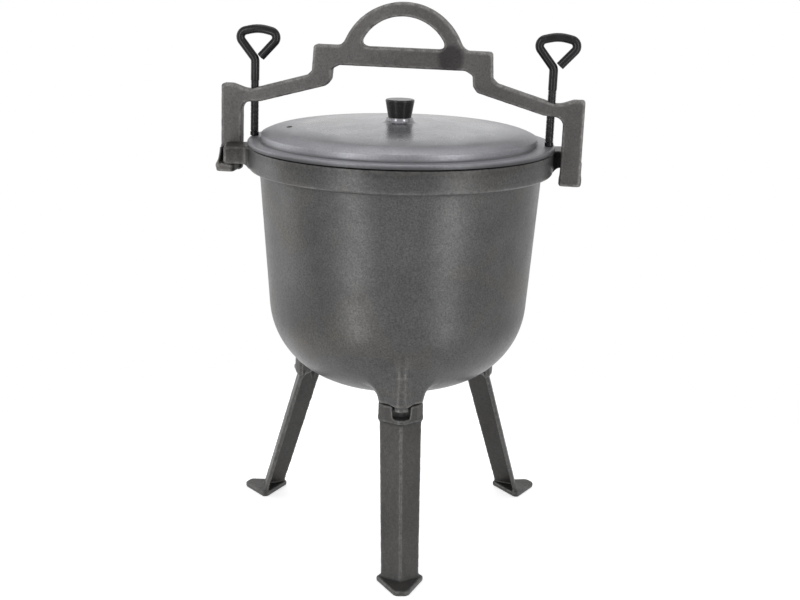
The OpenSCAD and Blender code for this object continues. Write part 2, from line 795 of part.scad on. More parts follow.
module left_leg() {
    color(leg_iron) rotate(left_turn) leg();
}

module right_leg() {
    color(leg_iron) rotate(right_turn) leg();
}

pot();
lid();
knob();
knob_screw();
knob_screw_washer();
bow();
left_clamp_screw();
right_clamp_screw();
left_screw_tip();
right_screw_tip();
front_leg();
left_leg();
right_leg();
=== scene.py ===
import math

import bpy
import numpy as np
from mathutils import Matrix, Vector


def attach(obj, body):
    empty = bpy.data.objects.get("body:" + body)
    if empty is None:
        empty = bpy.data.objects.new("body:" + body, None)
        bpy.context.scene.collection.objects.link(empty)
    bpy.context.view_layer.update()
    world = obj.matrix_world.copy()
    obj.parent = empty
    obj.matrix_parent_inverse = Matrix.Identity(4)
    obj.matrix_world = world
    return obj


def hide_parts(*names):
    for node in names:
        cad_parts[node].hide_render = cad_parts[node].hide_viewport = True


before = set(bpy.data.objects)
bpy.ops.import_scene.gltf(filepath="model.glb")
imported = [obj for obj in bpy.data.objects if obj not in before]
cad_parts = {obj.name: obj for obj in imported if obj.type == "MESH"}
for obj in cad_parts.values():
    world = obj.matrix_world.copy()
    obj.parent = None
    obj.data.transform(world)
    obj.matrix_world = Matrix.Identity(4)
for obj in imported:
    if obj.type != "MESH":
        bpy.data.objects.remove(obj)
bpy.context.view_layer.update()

# Sizes of the casting in millimetres, the same as in the part's source
RIM = 372.0
COLLAR_R, COLLAR_LOW = 141.0, 351.0
WALL_R, WALL_SLOPE, WALL_T = 131.0, math.radians(4.2), 5.0
KNUCKLE_R, CROWN_R, BOTTOM = 79.0, 215.0, 143.0
LUG_REACH, LUG_HALF, LUG_H = 163.0, 16.8, 16.0
LID_R, FLANGE_T, LID_T = 142.0, 5.0, 5.0
DOME_R, DOME_H, DOME_CROWN_R, DOME_SHOULDER_R = 127.5, 22.1, 1150.0, 50.0
DOME_EDGE_SLOPE, DOME_ASIDE = math.radians(28.5), 1.8
LIP_R, LIP_W, LIP_H = 124.5, 5.5, 5.0
KNOB_UP, KNOB_H, KNOB_FOOT_R, KNOB_TOP_R = 27.0, 16.5, 10.7, 13.75
HOLE_R, HOLE_REACH, HOLE_TURN = 2.5, 103.5, math.radians(185)
BOW_TURN, BOW_LEAN, LEAN_UP = math.radians(-9.3), math.radians(0.9), 75.0
BOW_HALF, BOW_REACH, BOW_INNER, GUSSET_T = 7.0, 168.0, 149.0, 2.0
SCREW_REACH, SCREW_R, TIP, SCREW_FOOT = 137.5, 4.0, 377.1, 381.0
SOCKET_TOP, SOCKET_H, SOCKET_NOSE = 154.0, 16.0, 114.0
RIDGE_FOOT, RIDGE_TOP, RIDGE_SHARE, LEG_T = 153.8, 110.0, 0.68, 4.0
SOLE_T = 4.8
LEG_TURNS = {"front_leg": -90.0, "left_leg": 150.0, "right_leg": 30.0}


# Camera, as the photograph was taken: from the front, a little left of the middle and above

def make_camera():
    data = bpy.data.cameras.new("photo_camera")
    camera = bpy.data.objects.new("photo_camera", data)
    bpy.context.scene.collection.objects.link(camera)
    data.sensor_width = 36.0
    data.lens = 62.48
    data.clip_start = 0.05
    data.clip_end = 60.0
    right = Vector((0.99872, -0.04595, 0.02114)).normalized()
    forward = (Vector((0.04983, 0.96583, -0.25434)) - 0.00055 * right).normalized()
    up = right.cross(forward).normalized()
    right = forward.cross(up).normalized()
    turn = Matrix((right, up, -forward)).transposed()
    camera.matrix_world = Matrix.Translation(Vector((-63.3, -1282.3, 561.8)) / 1000) @ turn.to_4x4()
    bpy.context.scene.camera = camera


# Shapes as distance fields: each is below zero inside the metal

def meet(a, b, blend):
    """The larger of two fields, with the edge between them rounded."""
    return -join(-a, -b, blend)


def join(a, b, blend):
    """The smaller of two fields, with a fillet in the corner between them."""
    if blend <= 0:
        return np.minimum(a, b)
    share = np.clip(0.5 + 0.5 * (b - a) / blend, 0, 1)
    return b * (1 - share) + a * share - blend * share * (1 - share)


def slab(flat, across, half, rounding):
    """A flat outline given a thickness, its edges rounded."""
    a, b = flat + rounding, np.abs(across) - half + rounding
    return np.minimum(np.maximum(a, b), 0) + np.hypot(np.maximum(a, 0), np.maximum(b, 0)) - rounding


def outline_field(points, u, v):
    """Distance to a closed outline, below zero inside it."""
    u, v = np.broadcast_arrays(np.asarray(u, np.float32), np.asarray(v, np.float32))
    nearest = np.full(u.shape, 1e12, np.float32)
    inside = np.zeros(u.shape, bool)
    for (au, av), (bu, bv) in zip(points, points[1:] + points[:1]):
        du, dv = bu - au, bv - av
        along = np.clip(((u - au) * du + (v - av) * dv) / (du * du + dv * dv), 0, 1)
        nearest = np.minimum(nearest, (u - au - along * du) ** 2 + (v - av - along * dv) ** 2)
        if av != bv:
            crossing = (av > v) != (bv > v)
            inside ^= crossing & (u < au + (v - av) / (bv - av) * du)
    return np.where(inside, -1, 1) * np.sqrt(nearest)


def rounded(points, radii, closed=True, step=7.0):
    """An outline whose corners are arcs of the given radii."""
    result = []
    count = len(points)
    for i, (point, radius) in enumerate(zip(points, radii)):
        if radius == 0 or (not closed and i in (0, count - 1)):
            result.append(tuple(point))
            continue
        corner = np.array(point, float)
        back = np.array(points[i - 1], float) - corner
        ahead = np.array(points[(i + 1) % count], float) - corner
        back, ahead = back / np.linalg.norm(back), ahead / np.linalg.norm(ahead)
        angle = math.acos(np.clip(back @ ahead, -1, 1))
        middle = back + ahead
        centre = corner + radius / math.sin(angle / 2) * middle / np.linalg.norm(middle)
        start = corner + radius / math.tan(angle / 2) * back - centre
        sweep = math.pi - angle
        turn = -1.0 if back[0] * ahead[1] - back[1] * ahead[0] > 0 else 1.0
        pieces = max(2, math.ceil(math.degrees(sweep) / step))
        for k in range(pieces + 1):
            a = turn * sweep * k / pieces
            result.append((centre[0] + start[0] * math.cos(a) - start[1] * math.sin(a),
                           centre[1] + start[0] * math.sin(a) + start[1] * math.cos(a)))
    return result


def grid(low, high, step):
    axes = [np.arange(a, b + step, step, dtype=np.float32) for a, b in zip(low, high)]
    return np.meshgrid(*axes, indexing="ij", sparse=True)


def unevenness(u, v, w, size, amount, seed=0.0):
    """Soft hills and hollows, as sand leaves them on a casting."""
    total = 0
    for turn, stretch, share in ((0.3, 1.0, 0.5), (1.4, 1.7, 0.3), (2.6, 2.9, 0.2)):
        a = 2 * math.pi * stretch / size
        x = math.cos(turn) * u + math.sin(turn) * v
        y = math.cos(turn) * v - math.sin(turn) * u
        total = total + share * np.sin(a * x + seed + 1.3 * np.sin(0.7 * a * w + seed)) * np.sin(
            a * y + 2 * seed + turn) * np.cos(0.8 * a * w + stretch + seed)
    return amount * total


def skin(field, axes, step):
    """Points and four-sided faces of the surface where a field crosses zero."""
    corner = np.array([a.ravel()[0] for a in axes])
    field = np.ascontiguousarray(np.broadcast_to(field, tuple(a.size for a in axes)), np.float32)
    below = field < 0
    cells = tuple(n - 1 for n in field.shape)
    total = np.zeros(cells + (3,), np.float32)
    count = np.zeros(cells, np.int16)
    for axis in range(3):
        sides = [a for a in range(3) if a != axis]
        for i in (0, 1):
            for j in (0, 1):
                start = [0, 0, 0]
                start[sides[0]], start[sides[1]] = i, j
                near = tuple(slice(s, s + n) for s, n in zip(start, cells))
                start[axis] = 1
                far = tuple(slice(s, s + n) for s, n in zip(start, cells))
                start[axis] = 0
                cut = np.nonzero(below[near] != below[far])
                here, there = field[near][cut], field[far][cut]
                total[cut] += np.array(start, np.float32)
                total[cut + (np.full(len(here), axis),)] += here / (here - there)
                count[cut] += 1
    used = count > 0
    number = np.full(cells, -1, np.int32)
    number[used] = np.arange(int(used.sum()))
    points = corner + step * (np.argwhere(used) + total[used] / count[used][:, None])
    faces = []
    for axis in range(3):
        one, two = (axis + 1) % 3, (axis + 2) % 3
        window = [slice(1, n - 1) for n in field.shape]
        window[axis] = slice(0, field.shape[axis] - 1)
        near = below[tuple(window)]
        window[axis] = slice(1, field.shape[axis])
        far = below[tuple(window)]
        place = np.argwhere(near != far)
        leaving = near[tuple(place.T)]
        place[:, one] += 1
        place[:, two] += 1
        quad = []
        for back_one, back_two in ((1, 1), (0, 1), (0, 0), (1, 0)):
            cell = place.copy()
            cell[:, one] -= back_one
            cell[:, two] -= back_two
            quad.append(number[tuple(cell.T)])
        quad = np.stack(quad, 1)
        quad[~leaving] = quad[~leaving][:, ::-1]
        faces.append(quad)
    return points, np.concatenate(faces)


def lathe(profile, segments=192, closed=False):
    """A profile of distances and heights, turned about the Z axis."""
    points, rings = [], []
    turns = np.linspace(0, 2 * math.pi, segments, endpoint=False)
    for reach, height in profile:
        if reach < 1e-6:
            rings.append([len(points)] * segments)
            points.append((0, 0, height))
        else:
            rings.append(list(range(len(points), len(points) + segments)))
            points += [(reach * math.cos(a), reach * math.sin(a), height) for a in turns]
    faces = []
    pairs = list(zip(rings, rings[1:])) + ([(rings[-1], rings[0])] if closed else [])
    for low, high in pairs:
        for j in range(segments):
            face = [low[j], low[(j + 1) % segments], high[(j + 1) % segments], high[j]]
            faces.append(list(dict.fromkeys(face)))
    return np.array(points, float), faces


def turned_over(points, matrix):
    """Points in millimetres moved by a four-by-four matrix."""
    matrix = np.array(matrix)
    return points @ matrix[:3, :3].T + matrix[:3, 3]


def gather(parts):
    """Several sets of points and faces as one."""
    points, faces, first = [], [], 0
    for part_points, part_faces in parts:
        points.append(np.asarray(part_points, float))
        faces += [[int(i) + first for i in face] for face in part_faces]
        first += len(part_points)
    return np.concatenate(points), faces


def mark_edges(mesh):
    """Keeps how sharply the surface turns at each point, for wear on edges and painted shade in corners."""
    count = len(mesh.vertices)
    places, normals = np.empty(count * 3), np.empty(count * 3, np.float32)
    mesh.vertices.foreach_get("co", places)
    mesh.vertex_normals.foreach_get("vector", normals)
    places, normals = places.reshape(-1, 3), normals.reshape(-1, 3)
    ends = np.empty(len(mesh.edges) * 2, np.int32)
    mesh.edges.foreach_get("vertices", ends)
    a, b = ends.reshape(-1, 2).T
    gap = places[a] - places[b]
    length = np.maximum((gap ** 2).sum(1), 1e-10)
    bend = ((normals[a] - normals[b]) * gap).sum(1) / length / 1000
    value = np.zeros(count)
    near = np.bincount(a, minlength=count) + np.bincount(b, minlength=count)
    value = (np.bincount(a, bend, count) + np.bincount(b, bend, count)) / np.maximum(near, 1)
    for _ in range(3):
        value = 0.5 * value + 0.5 * (np.bincount(a, value[b], count) + np.bincount(b, value[a], count)) / np.maximum(near, 1)
    layer = mesh.attributes.new("turning", "FLOAT", "POINT")
    layer.data.foreach_set("value", value.astype(np.float32))


def piece(name, body, slot, material, points, faces, node=None, sharp=None):
    """A finished piece of the part from points in millimetres."""
    mesh = bpy.data.meshes.new(name)
    mesh.from_pydata((np.asarray(points) / 1000).tolist(), [], [list(map(int, f)) for f in faces])
    mesh.validate()
    mesh.update()
    mesh.shade_smooth()
    if sharp:
        mesh.set_sharp_from_angle(angle=math.radians(sharp))
    mark_edges(mesh)
    mesh.materials.append(material)
    result = bpy.data.objects.new(name, mesh)
    bpy.context.scene.collection.objects.link(result)
    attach(result, body)
    if node:
        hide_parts(node)
    return result


# Materials

HEIGHTS = 500.0


class Finish:
    """A material that is put together from noises over the object's own coordinates."""

    def __init__(self, name):
        self.material = bpy.data.materials.new(name)
        self.material.use_nodes = True
        self.tree = self.material.node_tree
        self.tree.nodes.clear()
        output = self.tree.nodes.new("ShaderNodeOutputMaterial")
        self.shader = self.tree.nodes.new("ShaderNodeBsdfPrincipled")
        self.tree.links.new(self.shader.outputs["BSDF"], output.inputs["Surface"])
        self.place = self.tree.nodes.new("ShaderNodeTexCoord").outputs["Object"]

    def set(self, name, value):
        socket = self.shader.inputs[name]
        if isinstance(value, bpy.types.NodeSocket):
            self.tree.links.new(value, socket)
        else:
            socket.default_value = value

    def noise(self, size, detail=3.0, rough=0.55, bend=0.0, stretch=None):
        """Noise whose hills are about the given number of millimetres across."""
        node = self.tree.nodes.new("ShaderNodeTexNoise")
        node.inputs["Scale"].default_value = 1000 / size
        node.inputs["Detail"].default_value = detail
        node.inputs["Roughness"].default_value = rough
        node.inputs["Distortion"].default_value = bend
        self.tree.links.new(self.stretched(stretch), node.inputs["Vector"])
        return node.outputs["Fac"]

    def stretched(self, stretch):
        if stretch is None:
            return self.place
        mapping = self.tree.nodes.new("ShaderNodeMapping")
        mapping.inputs["Scale"].default_value = stretch
        self.tree.links.new(self.place, mapping.inputs["Vector"])
        return mapping.outputs["Vector"]

    def pits(self, size):
        """Distance to scattered points, for pits and grains."""
        node = self.tree.nodes.new("ShaderNodeTexVoronoi")
        node.inputs["Scale"].default_value = 1000 / size
        self.tree.links.new(self.place, node.inputs["Vector"])
        return node.outputs["Distance"], node.outputs["Color"]

    def ramp(self, value, *stops):
        node = self.tree.nodes.new("ShaderNodeValToRGB")
        elements = node.color_ramp.elements
        while len(elements) < len(stops):
            elements.new(0.5)
        for element, (place, colour) in zip(elements, stops):
            colour = (colour,) * 3 if isinstance(colour, (int, float)) else colour
            element.position = place
            element.color = (*colour, 1.0)
        self.tree.links.new(value, node.inputs["Fac"])
        return node.outputs["Color"]

    def math(self, kind, a, b=None):
        node = self.tree.nodes.new("ShaderNodeMath")
        node.operation = kind
        for socket, value in zip(node.inputs, (a, b)):
            if isinstance(value, bpy.types.NodeSocket):
                self.tree.links.new(value, socket)
            elif value is not None:
                socket.default_value = value
        return node.outputs[0]

    def mix(self, kind, share, a, b):
        node = self.tree.nodes.new("ShaderNodeMix")
        node.data_type = "RGBA"
        node.blend_type = kind
        for socket, value in ((node.inputs["Factor"], share), (node.inputs[6], a), (node.inputs[7], b)):
            if isinstance(value, bpy.types.NodeSocket):
                self.tree.links.new(value, socket)
            elif isinstance(value, tuple):
                socket.default_value = (*value, 1.0)
            else:
                socket.default_value = value
        return node.outputs[2]

    def by_height(self, *stops):
        """A value that changes with the height above the floor, in millimetres."""
        parts = self.tree.nodes.new("ShaderNodeSeparateXYZ")
        self.tree.links.new(self.place, parts.inputs["Vector"])
        share = self.math("MULTIPLY", parts.outputs["Z"], 1000 / HEIGHTS)
        return self.ramp(share, *((height / HEIGHTS, value) for height, value in stops))

    def spot(self, centre, half):
        """One inside a soft-edged spot, its centre and half sizes in millimetres."""
        mapping = self.tree.nodes.new("ShaderNodeMapping")
        mapping.inputs["Scale"].default_value = [1000 / h for h in half]
        mapping.inputs["Location"].default_value = [-c / h for c, h in zip(centre, half)]
        self.tree.links.new(self.place, mapping.inputs["Vector"])
        far = self.tree.nodes.new("ShaderNodeVectorMath")
        far.operation = "LENGTH"
        self.tree.links.new(mapping.outputs["Vector"], far.inputs[0])
        return self.ramp(far.outputs["Value"], (0.7, 1.0), (1.0, 0.0))

    def turning(self):
        node = self.tree.nodes.new("ShaderNodeAttribute")
        node.attribute_name = "turning"
        return node.outputs["Fac"]

    def bumps(self, *layers):
        """Bump from several heights, each with its depth in millimetres."""
        normal = None
        for height, depth, strength in layers:
            node = self.tree.nodes.new("ShaderNodeBump")
            node.inputs["Strength"].default_value = strength
            node.inputs["Distance"].default_value = depth / 1000
            self.tree.links.new(height, node.inputs["Height"])
            if normal:
                self.tree.links.new(normal, node.inputs["Normal"])
            normal = node.outputs["Normal"]
        self.set("Normal", normal)


def cast_iron(name, dark, light, tint, rough, metallic=0.5, grain=0.35, worn=(0.3, 0.29, 0.28), wear=0.6,
              speckle=0.5, painted_corner_shade=0.5, painted_shade_by_height=((0, 1.0), (500, 1.0)), spot=None, smooth=None):
    """Oiled sand-cast iron: cloudy grey, a fine grain with sparkle, brighter rubbed edges, painted shade in the corners
    and by height, and a darker spot.
    """
    iron = Finish(name)
    cloud = iron.noise(70, 5, 0.6, 0.4)
    colour = iron.ramp(cloud, (0.34, dark), (0.66, light))
    stain = iron.ramp(iron.noise(110, 3, 0.6, 0.8), (0.5, 0.0), (0.72, 1.0))
    colour = iron.mix("MIX", iron.math("MULTIPLY", stain, 0.55), colour, tint)
    fine = iron.noise(1.6, 4, 0.7)
    colour = iron.mix("MULTIPLY", speckle, colour, iron.ramp(fine, (0.3, 0.45), (0.7, 1.5)))
    turning = iron.turning()
    edge = iron.ramp(turning, (0.04, 0.0), (0.22, 1.0))
    rubbed = iron.math("MULTIPLY", iron.math("MULTIPLY", edge, iron.ramp(iron.noise(5, 4, 0.7), (0.35, 0.1), (0.6, 1.0))), wear)
    colour = iron.mix("MIX", rubbed, colour, worn)
    # Painted shade: concave corners are darkened towards a deeper tone of the dark colour
    corner = iron.ramp(iron.math("MULTIPLY", turning, -1.0), (0.03, 0.0), (0.2, 1.0))
    colour = iron.mix("MIX", iron.math("MULTIPLY", corner, painted_corner_shade), colour, tuple(0.45 * c for c in dark))
    # Painted shade by height: bands darkened where shade falls, such as the pot's collar under the lid's flange, the
    # gap line under the lid and the lid's flange edge; it dims the specular level too
    shade = iron.by_height(*painted_shade_by_height)
    # A spot multiplies a darker patch into the shade; on the lid it is painted shade over the steam hole
    if spot:
        shade = iron.mix("MULTIPLY", iron.spot(*spot[:2]), shade, spot[2])
    iron.set("Base Color", iron.mix("MULTIPLY", 1.0, colour, shade))
    iron.set("Specular IOR Level", iron.math("MULTIPLY", shade, 0.5))
    iron.set("Metallic", metallic)
    patch = iron.ramp(iron.noise(30, 4, 0.6), (0.3, rough[0]), (0.7, rough[1]))
    grainy = iron.ramp(iron.noise(2.2, 3, 0.6), (0.3, 0.85), (0.7, 1.15))
    if smooth:
        patch = iron.mix("MIX", iron.spot(*smooth), (0.46, 0.46, 0.46), patch)
    iron.set("Roughness", iron.mix("MULTIPLY", 1.0, patch, grainy))
    iron.bumps((iron.noise(26, 3, 0.5), 0.5, 0.35), (iron.noise(5, 4, 0.6), 0.25, grain),
               (iron.noise(1.1, 3, 0.7), 0.09, grain))
    return iron.material


def black_steel(name):
    """Blackened steel rod with an oily gloss and thin scuffs."""
    steel = Finish(name)
    colour = steel.ramp(steel.noise(9, 4, 0.6), (0.3, (0.006, 0.006, 0.007)), (0.75, (0.016, 0.016, 0.018)))
    scuff = steel.ramp(steel.noise(4, 4, 0.7, 0.3, (1, 1, 0.12)), (0.62, 0.0), (0.72, 1.0))
    colour = steel.mix("MIX", steel.math("MULTIPLY", scuff, 0.35), colour, (0.09, 0.09, 0.095))
    rubbed = steel.ramp(steel.turning(), (0.35, 0.0), (1.2, 0.6))
    steel.set("Base Color", steel.mix("MIX", rubbed, colour, (0.07, 0.07, 0.073)))
    steel.set("Specular IOR Level", 0.22)
    steel.set("Roughness", steel.ramp(steel.noise(6, 3, 0.6), (0.3, 0.16), (0.7, 0.26)))
    steel.bumps((steel.noise(3, 3, 0.6), 0.08, 0.3), (steel.noise(0.7, 2, 0.5), 0.03, 0.25))
    return steel.material


def knob_black(name):
    """Moulded black knob, satin, with a dusty bloom and fine scratches."""
    knob = Finish(name)
    colour = knob.ramp(knob.noise(8, 4, 0.6), (0.3, (0.013, 0.013, 0.013)), (0.7, (0.024, 0.024, 0.025)))
    dust = knob.ramp(knob.noise(1.2, 4, 0.8), (0.6, 0.0), (0.78, 1.0))
    knob.set("Base Color", knob.mix("MIX", knob.math("MULTIPLY", dust, 0.2), colour, (0.12, 0.12, 0.12)))
    knob.set("Roughness", knob.ramp(knob.noise(4, 3, 0.6), (0.3, 0.2), (0.7, 0.3)))
    knob.set("Specular IOR Level", 0.3)
    knob.bumps((knob.noise(2.5, 4, 0.6), 0.05, 0.25), (knob.noise(0.6, 2, 0.5), 0.02, 0.3))
    return knob.material


# The pot's painted shade darkens its collar towards the rim, under the lid's flange, and paints the top face in the gap
# under the lid near black
POT_IRON = cast_iron("pot iron", (0.05, 0.05, 0.051), (0.076, 0.076, 0.077), (0.078, 0.066, 0.05), (0.34, 0.43),
                     metallic=0.35, speckle=0.95, grain=0.6, wear=0.4,
                     painted_shade_by_height=((350.2, 1.0), (351.5, 0.95), (364, 0.85), (369, 0.62), (371.4, 0.55), (371.9, 0.12)))
# Painted sheen: the lid is the same dark iron as the pot, given a much lighter colour for the bright reflection of the
# white surroundings on its dome
LID_IRON_PAINTED_SHEEN = cast_iron("lid iron", (0.2, 0.2, 0.212), (0.28, 0.28, 0.3), (0.22, 0.22, 0.24), (0.22, 0.3),
                     metallic=0.7, grain=0.12, speckle=0.25, painted_corner_shade=0.7, worn=(0.3, 0.3, 0.31), wear=0.15,
                     painted_shade_by_height=((372.7, 0.2), (375.5, 0.45), (377.0, 1.0)),
                     # Painted shade: the steam hole and a small ring around it are made near black, for the dark inside
                     # of the hole
                     spot=((-103.1, -9.0, 389.6), (3.3, 8.0, 8.0), (0.03, 0.03, 0.03)),
                     smooth=((-DOME_ASIDE, 0, 390), (124, 124, 1000)))
BOW_IRON = cast_iron("bow iron", (0.06, 0.0575, 0.056), (0.094, 0.09, 0.088), (0.075, 0.065, 0.058), (0.45, 0.6),
                     grain=0.5, speckle=0.6, metallic=0.4, spot=((43, -7, 454), (14, 30, 15), (0.5, 0.47, 0.49)))
LEG_IRON = cast_iron("leg iron", (0.03, 0.029, 0.028), (0.05, 0.048, 0.046), (0.038, 0.034, 0.03), (0.4, 0.54),
                     grain=0.6, speckle=0.6, wear=0.4, worn=(0.2, 0.197, 0.194), metallic=0.35)
SCREW_BLACK = black_steel("black screw steel")
KNOB_BLACK = knob_black("black knob")


# The pot: a turned bowl with its collar, two lugs and three leg bosses cast on

WALL_DIR = np.array([-math.sin(WALL_SLOPE), -math.cos(WALL_SLOPE)])
WALL_OUT = np.array([math.cos(WALL_SLOPE), -math.sin(WALL_SLOPE)])
WALL_TOP = np.array([WALL_R, COLLAR_LOW])
CROWN_C = np.array([0.0, BOTTOM + CROWN_R])


def knuckle_centre():
    start = WALL_TOP - KNUCKLE_R * WALL_OUT - CROWN_C
    along = start @ WALL_DIR
    run = -along + math.sqrt(along * along - start @ start + (CROWN_R - KNUCKLE_R) ** 2)
    return WALL_TOP - KNUCKLE_R * WALL_OUT + run * WALL_DIR


KNUCKLE_C = knuckle_centre()
CROWN_END = math.atan2(*(KNUCKLE_C - CROWN_C)[::-1])


def bowl_side(inset):
    """The bowl's outline from the middle of its bottom up to the end of the knuckle."""
    crown = [CROWN_C + (CROWN_R - inset) * np.array([math.cos(a), math.sin(a)])
             for a in np.linspace(-math.pi / 2, CROWN_END, 22)]
    knuckle = [KNUCKLE_C + (KNUCKLE_R - inset) * np.array([math.cos(a), math.sin(a)])
               for a in np.linspace(CROWN_END, -WALL_SLOPE, 22)[1:]]
    return [(max(0.0, p[0]), p[1]) for p in crown + knuckle]


def bowl_field(reach, z):
    """Distance to the outside of the bowl, seen as a body of revolution."""
    crown = np.hypot(reach, z - CROWN_C[1]) - CROWN_R
    knuckle = np.hypot(reach - KNUCKLE_C[0], z - KNUCKLE_C[1]) - KNUCKLE_R
    wall = (reach - WALL_TOP[0]) * WALL_OUT[0] + (z - WALL_TOP[1]) * WALL_OUT[1]
    turn = np.arctan2(z - KNUCKLE_C[1], reach - KNUCKLE_C[0])
    return np.where(turn < CROWN_END, crown, np.where(turn < -WALL_SLOPE, knuckle, wall))


def spaced(profile, most):
    """The same outline with no stretch longer than the given length."""
    result = [profile[0]]
    for a, b in zip(profile, profile[1:]):
        pieces = max(1, math.ceil(math.dist(a, b) / most))
        result += [(a[0] + (b[0] - a[0]) * k / pieces, a[1] + (b[1] - a[1]) * k / pieces)
                   for k in range(1, pieces + 1)]
    return result


def bowl():
    mouth = WALL_R - WALL_T / math.cos(WALL_SLOPE) + (RIM - COLLAR_LOW) * math.tan(WALL_SLOPE)
    outside, inside = bowl_side(0), bowl_side(WALL_T)
    upper = rounded(
        [outside[-1], tuple(WALL_TOP), (COLLAR_R, COLLAR_LOW), (COLLAR_R, RIM), (mouth, RIM), inside[-1]],
        [0, 3, 2.5, 1.2, 1.5, 0], closed=False, step=22)
    points, faces = lathe(spaced(outside[:-1] + upper + inside[-2::-1], 4.0), 216)
    lift = points[:, 2:3]
    points[:, :2] *= 1 + unevenness(points[:, :1], points[:, 1:2], lift, 60, 0.15) / 140
    return points, faces


def lug():
    """One lug along +X, with the flank that flares into the collar."""
    step = 0.8
    axes = grid((132, -27, 338), (165, 27, 374), step)
    x, y, z = axes
    block = slab(outline_field(rounded(
        [(130, RIM - LUG_H - 1.2), (141, RIM - LUG_H - 1.2), (146, RIM - LUG_H), (LUG_REACH, RIM - LUG_H),
         (LUG_REACH, RIM), (130, RIM)], [0, 0, 4, 2, 2, 0]), x, z), y, LUG_HALF, 1.6)
    reach = np.hypot(x, y)
    collar = meet(reach - COLLAR_R + 0.12, np.abs(z - (RIM + COLLAR_LOW) / 2) - (RIM - COLLAR_LOW) / 2 + 0.12, 3)
    whole = join(block + unevenness(x, y, z, 9, 0.14), collar, 7)
    whole = meet(whole, z - RIM + 0.02, 1.2)
    whole = np.maximum(whole, np.maximum(135 - reach, np.abs(y) - 25.6))
    return skin(whole, axes, step)


def boss():
    """One leg boss along +X with its rib, tongue and peg, flaring softly into the bowl."""
    step = 0.75
    axes = grid((85, -41, 136), (126, 41, 226), step)
    x, y, z = axes
    up = z - SOCKET_TOP
    skirt = bowl_field(np.hypot(x, y), z)
    plan = outline_field(rounded(
        [(86, -27), (94, -27), (104, -14), (111.4, -3), (111.4, 3), (104, 14), (94, 27), (86, 27)],
        [0, 6, 6, 4, 4, 6, 6, 0]), x, y)
    front = outline_field(rounded(
        [(-20, 0), (20, 0), (22.5, 12), (27, 20), (27, 34), (-27, 34), (-27, 20), (-22.5, 12)],
        [1, 1, 9, 0, 0, 0, 0, 9]), y, up)
    block = meet(plan, front, 3)
    lean = 104.6 + 0.178 * up
    rib = meet(np.hypot(x - lean, y) - (7.6 - 0.052 * up), np.maximum(up - 58, 0.5 - up), 2)
    tongue = meet(np.hypot(x - 104.6, y) - 7.6, np.maximum(np.maximum(np.abs(y) - 6.4, -up - 5), up - 2), 1)
    tongue = np.maximum(tongue, 100.6 - x)
    peg = slab(outline_field([(96.3, -15), (101.6, -12.5), (101.6, 12.5), (96.3, 15)], x, y), up + 7, 8.4, 0.6)
    body = join(block, rib, 5) + unevenness(x, y, z, 11, 0.16, 1.0)
    body = join(skirt + 0.12, body + 0.3 * np.maximum(up - 28, 0), 11)
    body = np.maximum(body, -up)
    body = np.minimum(join(body, tongue, 1.5), peg)
    lining = -(skirt + 3.5)
    keep = np.maximum(np.maximum(np.abs(y) - 39.5, z - 224), 87 - x)
    return skin(np.maximum(body, np.maximum(lining, keep)), axes, step)


def place_round(shape, turn):
    points, faces = shape
    return turned_over(points, Matrix.Rotation(turn, 4, "Z")), faces


def make_pot():
    piece("pot_bowl", "pot", "pot_iron", POT_IRON, *bowl(), node="pot", sharp=50)
    shape = lug()
    piece("pot_lugs", "pot", "pot_iron", POT_IRON, *gather([place_round(shape, a) for a in (0, math.pi)]), node="pot")
    shape = boss()
    for name, turn in LEG_TURNS.items():
        piece(name.replace("leg", "boss"), "pot", "pot_iron", POT_IRON, *place_round(shape, math.radians(turn)),
              node="pot")


# The lid, with the round boss under its knob and its steam hole

def arc(centre, radius, first, last, pieces):
    return [(centre[0] + radius * math.cos(a), centre[1] + radius * math.sin(a))
            for a in np.linspace(first, last, pieces + 1)]


def lid_profile():
    crown_up = DOME_H - DOME_CROWN_R
    reach = DOME_R - DOME_SHOULDER_R * math.sin(DOME_EDGE_SLOPE)
    shoulder = (reach, crown_up + math.sqrt((DOME_CROWN_R - DOME_SHOULDER_R) ** 2 - reach ** 2))
    tangent = math.atan2(shoulder[1] - crown_up, reach)
    shoulder_arc = arc(shoulder, DOME_SHOULDER_R, math.pi / 2 - DOME_EDGE_SLOPE, tangent, 12)
    side = rounded(
        [(3.3, 15.5), (12, 15.5), (12, 16.7), (108, 12.0), (119, 7.5), (119, -LIP_H), (LIP_R, -LIP_H), (LIP_R, 0), (136, 0),
         (136, 0.8), (LID_R, 0.8), (LID_R, FLANGE_T), (DOME_R + 0.3, FLANGE_T), shoulder_arc[0], shoulder_arc[1]],
        [0.4, 0.6, 1, 14, 3, 1, 1, 1.2, 0.5, 0.3, 0.5, 1.6, 1.5, 0.8, 0], closed=False, step=20)
    crown = arc((0, crown_up), DOME_CROWN_R, tangent, math.acos(18.5 / DOME_CROWN_R), 26)
    boss_side = rounded(
        [crown[-1], (13.4, DOME_H + 0.4), (12.2, KNOB_UP), (3.3, KNOB_UP)], [0, 3.6, 0.9, 0], closed=False, step=15)
    profile = side + shoulder_arc[2:] + crown[1:-1] + boss_side
    return [(r, h + RIM) for r, h in profile]


